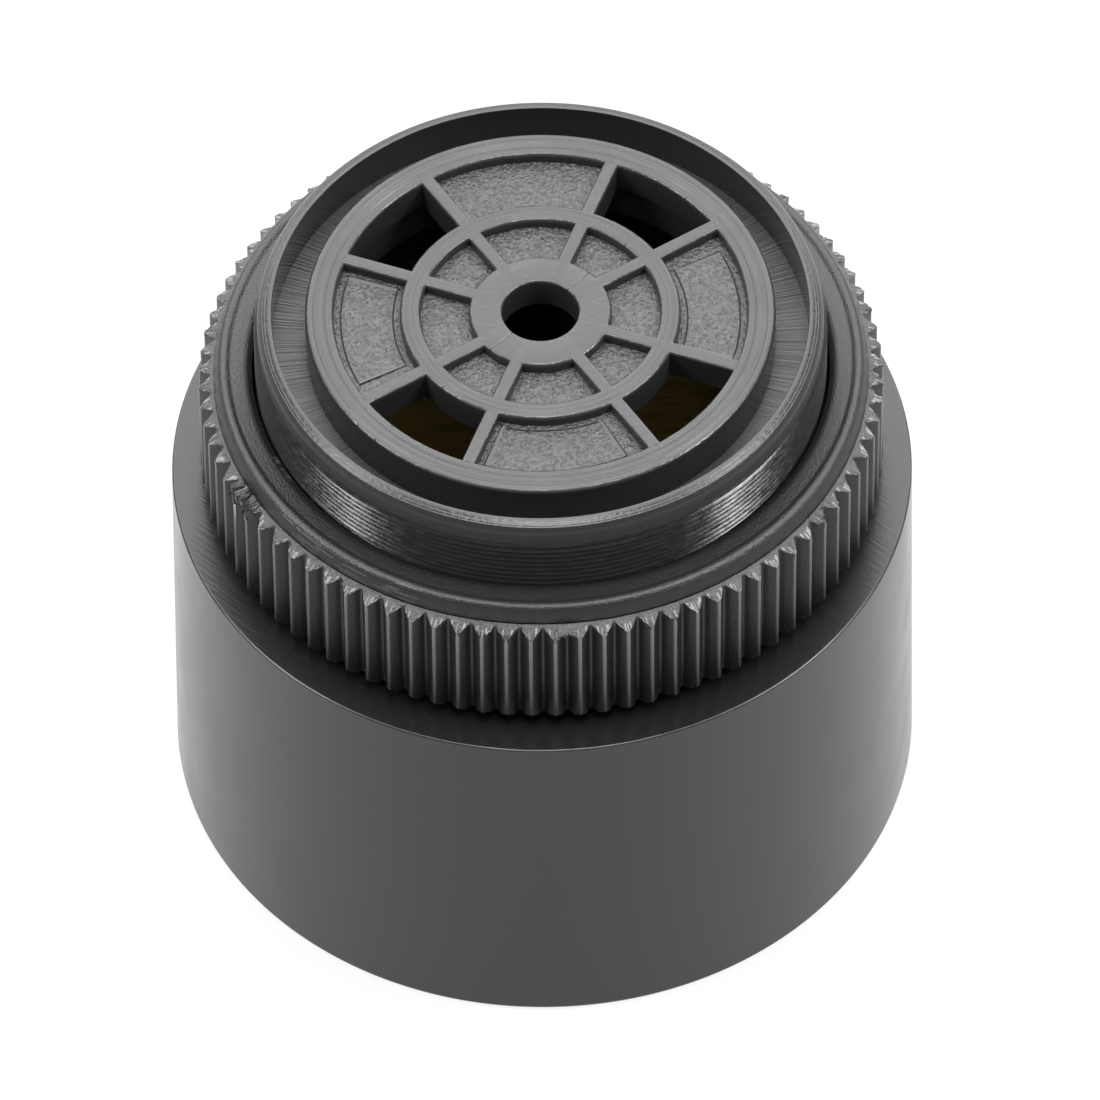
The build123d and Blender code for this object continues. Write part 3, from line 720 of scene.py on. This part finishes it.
bead_outline = (
    (1, 0.9), (0.985, 0.81), (0.965, 0.73), (0.94, 0.66), (0.91, 0.59), (0.87, 0.52), (0.825, 0.45), (0.775, 0.38),
    (0.72, 0.31), (0.66, 0.24), (0.58, 0.17), (0.47, 0.09), (0.36, 0.04), (0.24, 0.01), (0.12, 0), (0, 0.01),
)
ramp_width = 0.35 * mm
dish_depth = 0.14 * mm
bore_chamfer = 0.25 * mm
bead_inner = collar_radius - bead_width
dish_level = collar_top - dish_depth
collar_stations = [
    (collar_radius, seam_level),
    (collar_radius - seam_depth, seam_level - seam_depth),
    (collar_radius - seam_depth, seam_level + seam_depth),
]
for share, drop in bead_outline:
    collar_stations.append((bead_inner + share * bead_width, collar_top - drop * mm))
collar_stations += [
    (bead_inner - 0.2 * ramp_width, collar_top - 0.1 * dish_depth),
    (bead_inner - 0.5 * ramp_width, collar_top - 0.5 * dish_depth),
    (bead_inner - 0.8 * ramp_width, collar_top - 0.9 * dish_depth),
    (bead_inner - ramp_width, dish_level),
    (nut_bore + 2 * bore_chamfer, dish_level - 0.2 * dish_depth),
    (nut_bore + bore_chamfer, dish_level - 0.5 * dish_depth),
    (nut_bore, dish_level - bore_chamfer),
    (nut_bore, dish_level - 2 * bore_chamfer),
    (nut_thread_root, dish_level - 3 * bore_chamfer),
    (nut_thread_root, nut_base + bore_chamfer),
    (nut_thread_root + bore_chamfer, nut_base),
]


def draw_on(bm, edges, place):
    """Extrudes a row of edges, and puts each new vertex at the radius and level that its own radius gives."""
    geometry = bmesh.ops.extrude_edge_only(bm, edges=edges)["geom"]
    for vert in geometry:
        if isinstance(vert, bmesh.types.BMVert):
            radius, level = place(hypot(vert.co.x, vert.co.y))
            set_polar(vert, radius, atan2(vert.co.y, vert.co.x))
            vert.co.z = level
    return [item for item in geometry if isinstance(item, bmesh.types.BMEdge)]


def slope_level(radius):
    """The level of the teeth's sloped top at a radius."""
    return np.interp(radius, (collar_radius, knurl_tip), (seam_level, knurl_top))


# One tooth is drawn from its foot up, over the collar and down the bore, and then repeated round the ring
nut_bm = bmesh.new()
tooth_angle = 2 * pi / tooth_count
foot = [nut_bm.verts.new((0, 0, nut_base)) for _ in tooth_outline]
for vert, (share, radius) in zip(foot, tooth_outline):
    set_polar(vert, radius, share * tooth_angle)
edges = [nut_bm.edges.new(pair) for pair in zip(foot, foot[1:])]
edges = draw_on(nut_bm, edges, lambda radius: (radius, nut_base + foot_chamfer))
edges = draw_on(nut_bm, edges, lambda radius: (radius, slope_level(radius) - 2 * tear_reach))
edges = draw_on(nut_bm, edges, lambda radius: (radius, slope_level(radius) - tear_reach))
edges = draw_on(nut_bm, edges, lambda radius: (radius, slope_level(radius) - tip_rounding))
edges = draw_on(nut_bm, edges, lambda radius: (max(knurl_root, radius - tip_rounding), slope_level(radius)))
edges = draw_on(
    nut_bm, edges, lambda radius: ((radius + collar_radius) / 2, slope_level((radius + collar_radius) / 2)),
)
for station in collar_stations:
    edges = draw_on(nut_bm, edges, lambda radius: station)
for vert in foot:
    radius = hypot(vert.co.x, vert.co.y)
    set_polar(vert, min(radius, knurl_tip - foot_chamfer), atan2(vert.co.y, vert.co.x))
foot_edges = [edge for edge in nut_bm.edges if edge.verts[0] in foot and edge.verts[1] in foot]
bmesh.ops.bridge_loops(nut_bm, edges=edges + foot_edges)
bmesh.ops.spin(
    nut_bm, geom=nut_bm.verts[:] + nut_bm.edges[:] + nut_bm.faces[:], cent=(0, 0, 0), axis=(0, 0, 1),
    dvec=(0, 0, 0), angle=2 * pi * (tooth_count - 1) / tooth_count, steps=tooth_count - 1, use_merge=False,
    use_normal_flip=False, use_duplicate=True,
)
bmesh.ops.remove_doubles(nut_bm, verts=nut_bm.verts[:], dist=hair / 10)
bmesh.ops.recalc_face_normals(nut_bm, faces=nut_bm.faces[:])

# The tooth tops are ragged, because the knurl's flash was torn off them, and small burrs hang from the teeth's
# feet; one tooth is torn, and one gap is filled by a web
chance = random.Random(88)
tooth_raggedness = [chance.uniform(0.25, 1) ** 2 for _ in range(tooth_count)]
torn_angle = radians(202)
torn_width = radians(3.6)
web_gap = round(268 / 360 * tooth_count - 0.5)
web_angle = 2 * pi * (web_gap + 0.5) / tooth_count
web_width = radians(1.7)
torn_fill = 0.9
torn_raggedness = 5

# How far chance moves each corner, in millimetres
web_short = (0.06, 0.16)
ragged_rise = (-0.1, 0.09)
ragged_reach = (-0.07, 0.1)
foot_burr = 0.2
for vert in nut_bm.verts:
    radius = hypot(vert.co.x, vert.co.y)
    angle = angle_of(vert.co)
    from_slope = vert.co.z - slope_level(radius)
    raggedness = tooth_raggedness[round(angle / tooth_angle) % tooth_count]
    if radius > collar_radius + hair and -tear_reach - hair < from_slope < tip_rounding + hair:
        torn = abs(angle - torn_angle) < torn_width
        if abs(angle - web_angle) < web_width and from_slope > -2 * tip_rounding:
            radius = max(radius, knurl_tip - chance.uniform(*web_short) * mm)
        if torn:
            radius += (knurl_tip - radius) * chance.uniform(0, torn_fill)
            raggedness = torn_raggedness
        if from_slope > -2 * tip_rounding or torn:
            vert.co.z += chance.uniform(*ragged_rise) * raggedness * mm
            radius += chance.uniform(*ragged_reach) * raggedness * mm
            set_polar(vert, min(radius, knurl_tip), angle)
    elif radius > knurl_tip - 1.2 * foot_chamfer and vert.co.z < nut_base + 2 * foot_chamfer:
        vert.co.z += chance.uniform(0, foot_burr) * raggedness * mm

# Thin scratches run round the bead's front left side, each on a row of its own and none beside another
scratches_a_row = 3
scratch_start = (210, 238)
scratch_length = (1.5, 6)
scratches = []
for row in range(1, 12, 2):
    level = collar_top - (bead_outline[row][1] + bead_outline[row + 1][1]) / 2 * mm
    for _ in range(scratches_a_row):
        start = radians(chance.uniform(*scratch_start))
        scratches.append((level, start, start + radians(chance.uniform(*scratch_length))))

# The scratches and the torn tops are pale, and the crests of the teeth carry a painted highlight
burr_share = 0.3
toothed, grained, torn_off, crested, burred, cut = range(6)
for face in nut_bm.faces:
    middle = face.calc_center_median()
    radius = hypot(middle.x, middle.y)
    angle = angle_of(middle)
    from_slope = middle.z - slope_level(radius)
    if nut_bore + bore_chamfer < radius < collar_radius and middle.z > seam_level:
        face.material_index = grained
        for level, start, end in scratches:
            if radius > bead_inner and abs(middle.z - level) < hair and start < angle < end:
                face.material_index = torn_off
    elif radius > collar_radius and from_slope > -tip_rounding:
        on_edge = abs(from_slope) < tip_rounding and radius > knurl_root + 2 * tip_rounding
        face.material_index = burred if on_edge and chance.random() < burr_share else torn_off
    elif abs(angle - torn_angle) < torn_width and from_slope > -tear_reach:
        face.material_index = chance.choice((toothed, torn_off))
    elif radius > knurl_tip - crest_depth:
        face.material_index = crested

# The nut's own thread is cut into its bore, clear of the neck's
nut_ridge = (
    (nut_thread_root + hair, -0.45 * thread_pitch),
    (nut_bore, -0.1 * thread_pitch),
    (nut_bore, 0.1 * thread_pitch),
    (nut_thread_root + hair, 0.45 * thread_pitch),
)
nut_thread_start = nut_base + 2 * bore_chamfer
nut_turns = int((dish_level - 3 * bore_chamfer - nut_thread_start) / thread_pitch)
join_thread(nut_bm, wind_thread(nut_ridge, nut_thread_start, nut_turns), cut)

# Torn ABS: where the flash came off, the black is stretched to a dull grey with a coarse grain
torn_abs, shader = new_material("torn_abs", "#3c3c3e", 0.5, ior=abs_ior)
place = add_node(torn_abs, "TexCoord", {}).outputs["Object"]
grain = add_node(torn_abs, "TexNoise", {"Vector": place, "Scale": 1 / (0.16 * mm), "Detail": 3.0})
relief = add_node(
    torn_abs, "Bump", {"Height": grain.outputs["Fac"], "Strength": 1.0, "Distance": 0.12 * mm},
)
torn_abs.node_tree.links.new(relief.outputs["Normal"], shader.inputs["Normal"])

# Nut ABS: satin on the teeth, with a faint grain; the bead and the dish have a finer and deeper one
nut_ior = 1.42
nut_abs, shader = new_material("nut_abs", "#151516", 0.33, ior=nut_ior)
place = add_node(nut_abs, "TexCoord", {}).outputs["Object"]
grain = add_node(nut_abs, "TexNoise", {"Vector": place, "Scale": 1 / (0.12 * mm), "Detail": 3.0})
relief = add_node(
    nut_abs, "Bump", {"Height": grain.outputs["Fac"], "Strength": 1.0, "Distance": 0.025 * mm},
)
nut_abs.node_tree.links.new(relief.outputs["Normal"], shader.inputs["Normal"])

# Grained ABS: that finer grain, about 0.09 mm, breaks the bead's highlight into specks
grained_abs, shader = new_material("grained_abs", "#1a1a1b", 0.27, ior=nut_ior)
place = add_node(grained_abs, "TexCoord", {}).outputs["Object"]
grain = add_node(grained_abs, "TexNoise", {"Vector": place, "Scale": 1 / (0.09 * mm), "Detail": 2.0})
relief = add_node(
    grained_abs, "Bump", {"Height": grain.outputs["Fac"], "Strength": 1.0, "Distance": 0.042 * mm},
)
grained_abs.node_tree.links.new(relief.outputs["Normal"], shader.inputs["Normal"])

# Crest highlight ABS: the crests of the teeth carry a painted highlight, palest near their tops, and painted shade
# darkens them towards their feet
crest_highlight_abs, shader = new_material("crest_highlight_abs", "#303032", 0.34, ior=abs_ior)
place = add_node(crest_highlight_abs, "TexCoord", {}).outputs["Object"]
axes = add_node(crest_highlight_abs, "SeparateXYZ", {"Vector": place})
# Painted highlight and shade: the crest colour runs from dark at the nut's foot to pale at the knurl's top
painted_crest_light = add_node(
    crest_highlight_abs, "MapRange",
    {"Value": axes.outputs["Z"], "From Min": nut_base, "From Max": knurl_top, "To Min": 0.01, "To Max": 0.12},
)
crest_highlight_abs.node_tree.links.new(painted_crest_light.outputs["Result"], shader.inputs["Base Color"])

# Burred ABS: slivers that still hang on the edges of the torn tops are stretched to a pale grey
burred_abs = new_grained(
    "burred_abs", ("#5e5e60", "#757577"), (0.45, 0.55), (0.1 * mm, 0.1 * mm, 0.1 * mm), 0.03 * mm, ior=abs_ior,
)
finish_piece(
    nut_bm, "ring_nut_moulding", "ring_nut", "nut",
    (nut_abs, grained_abs, torn_abs, crest_highlight_abs, burred_abs, threaded_abs),
)

# Studio
# A white light table, dim surroundings with a white wall round them, and soft boxes behind, above and at both
# sides, as in a catalogue picture.
floor_reach = 1.5
floor_glow = 0.85
floor_bm = bmesh.new()
bmesh.ops.create_grid(floor_bm, x_segments=1, y_segments=1, size=floor_reach)
bmesh.ops.translate(floor_bm, verts=floor_bm.verts[:], vec=(0, 0, -hair))
floor_mesh = bpy.data.meshes.new("floor")
floor_bm.to_mesh(floor_mesh)
floor_bm.free()
lit_acrylic, shader = new_material("lit_acrylic", "#464646", 0.9)
shader.inputs["Emission Color"].default_value = linear("#ffffff")
shader.inputs["Emission Strength"].default_value = floor_glow
floor_mesh.materials.append(lit_acrylic)
floor = bpy.data.objects.new("floor", floor_mesh)
bpy.context.scene.collection.objects.link(floor)

world = bpy.data.worlds.new("surroundings")
world.use_nodes = True
background = world.node_tree.nodes["Background"]
background.inputs["Color"].default_value = linear("#ffffff")
rise = add_node(world, "SeparateXYZ", {"Vector": add_node(world, "TexCoord", {}).outputs["Generated"]})
wall = add_node(
    world, "MapRange",
    {"Value": rise.outputs["Z"], "From Min": 0.12, "From Max": 0.3, "To Min": 0.7, "To Max": 0.3},
)
world.node_tree.links.new(wall.outputs["Result"], background.inputs["Strength"])
bpy.context.scene.world = world
bpy.context.scene.view_settings.view_transform = "Standard"

middle_height = Vector((0, 0, nut_base))
box_distance = 0.7


def soft_box(name, azimuth, elevation, size, radiance):
    """A square soft box that faces the object, with the brightness of its face."""
    light = bpy.data.lights.new(name, "AREA")
    light.size = size
    light.energy = radiance * pi * size * size
    lamp = bpy.data.objects.new(name, light)
    bpy.context.scene.collection.objects.link(lamp)
    away = Vector((sin(azimuth) * cos(elevation), -cos(azimuth) * cos(elevation), sin(elevation)))
    lamp.location = middle_height + away * box_distance
    lamp.rotation_euler = away.to_track_quat("Z", "Y").to_euler()


soft_box("back_box", radians(174), radians(52), 1.1, 4.9)
soft_box("top_box", radians(0), radians(80), 0.3, 13.0)
soft_box("right_box", radians(76), radians(44), 0.28, 20.0)
soft_box("left_box", radians(-88), radians(44), 0.28, 16.0)

# Camera
# A long lens from above the front, a little to the left, turned so that the object leans as in the picture.
view_azimuth = radians(-6)
view_elevation = radians(50.125)
view_roll = radians(-0.584)
view_distance = 0.8
view_lens = 495.7
aim_drop = 7.9 * mm
aim_shift = 0.38 * mm
camera_data = bpy.data.cameras.new("camera")
camera_data.lens = view_lens
camera = bpy.data.objects.new("camera", camera_data)
bpy.context.scene.collection.objects.link(camera)
towards = Vector((
    sin(view_azimuth) * cos(view_elevation), -cos(view_azimuth) * cos(view_elevation), sin(view_elevation),
))
camera.location = middle_height + towards * view_distance
aim = Vector((0, 0, nut_base - aim_drop)) + aim_shift * Vector((cos(view_azimuth), sin(view_azimuth), 0))
facing = (aim - camera.location).to_track_quat("-Z", "Y") @ Quaternion((0, 0, 1), view_roll)
camera.rotation_euler = facing.to_euler()
camera_data.clip_end = 10
bpy.context.scene.camera = camera
